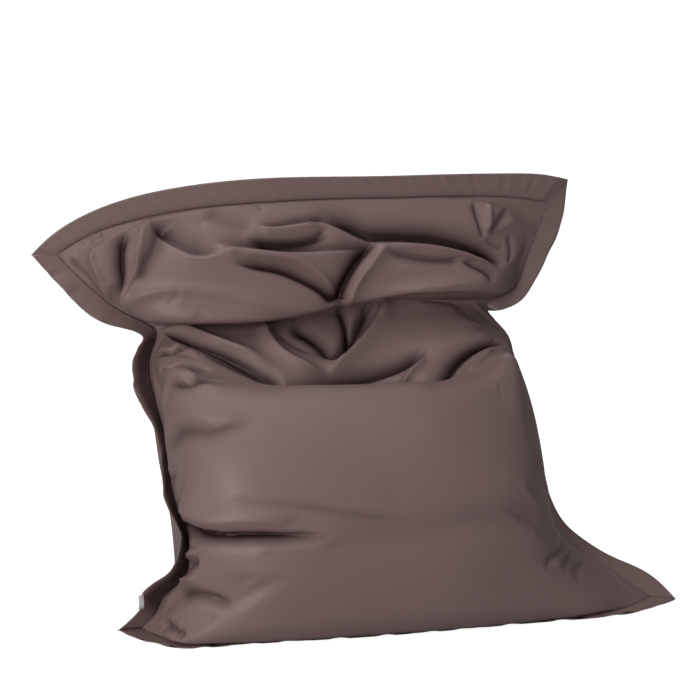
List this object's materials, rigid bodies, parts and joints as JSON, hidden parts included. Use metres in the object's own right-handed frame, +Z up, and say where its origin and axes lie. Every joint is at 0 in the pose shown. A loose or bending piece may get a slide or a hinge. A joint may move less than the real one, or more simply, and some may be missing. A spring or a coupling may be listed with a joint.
{
  "type": "bean bag chair",
  "caption": "Giant flat-cut pillow bean bag stood up as a seat, with a wide stitched flange, a slack head wing along the top edge, and a concealed zip.",
  "frame": {"origin": "middle of the bounding box at floor level", "axes": "+Z up, -Y towards the front of the seat, +X to the right seen from the front"},
  "size_m": [1.54, 0.9301, 1.033],
  "materials": {
    "cover_leatherette": "satin polyurethane coated faux leather, fine grain, warm brown grey",
    "liner_fabric": "plain woven polyester, off-white, matte",
    "bead_fill": "expanded polystyrene beads, white, matte",
    "thread": "bonded polyester thread, a little darker than the cover",
    "label_fabric": "woven satin label, blank, off-white",
    "zip_tape": "woven polyester tape, dark brown",
    "zip_coil": "nylon coil, dark brown, semi gloss",
    "zip_metal": "die-cast zinc, dark enamel",
    "hook_loop": "nylon hook and loop tape, off-white"
  },
  "bodies": {
    "bag": {"front_cover_lower": "cover_leatherette", "back_cover_lower": "cover_leatherette", "inner_liner_lower": "liner_fabric", "bead_fill_lower": "bead_fill", "topstitch_lower_front": "thread", "topstitch_lower_back": "thread", "care_label": "label_fabric"},
    "head_wing": {"front_cover_upper": "cover_leatherette", "back_cover_upper": "cover_leatherette", "inner_liner_upper": "liner_fabric", "bead_fill_upper": "bead_fill", "topstitch_upper_front": "thread", "topstitch_upper_back": "thread", "zip_tape_front": "zip_tape", "zip_tape_back": "zip_tape", "zip_coil_front": "zip_coil", "zip_coil_back": "zip_coil", "zip_end_stops": "zip_metal", "zip_bar_tacks": "thread", "liner_hook_strip": "hook_loop", "liner_loop_strip": "hook_loop"},
    "zip_slider": {"zip_slider": "zip_metal"},
    "pull_tab": {"pull_tab": "zip_metal"}
  },
  "joints": [
    {"name": "head_wing_lean", "type": "hinge", "parent": "bag", "child": "head_wing", "pos_m": [0, 0.238, 0.655], "axis": [-1, 0, 0], "range_deg": [0, 25]},
    {"name": "zip_slide", "type": "slide", "parent": "head_wing", "child": "zip_slider", "axis": [-1, 0, 0], "range_m": [0, 0.6]},
    {"name": "pull_tab_swing", "type": "hinge", "parent": "zip_slider", "child": "pull_tab", "pos_m": [0.472, 0.133, 1.0304], "axis": [0, 1, 0], "range_deg": [0, 150]}
  ]
}
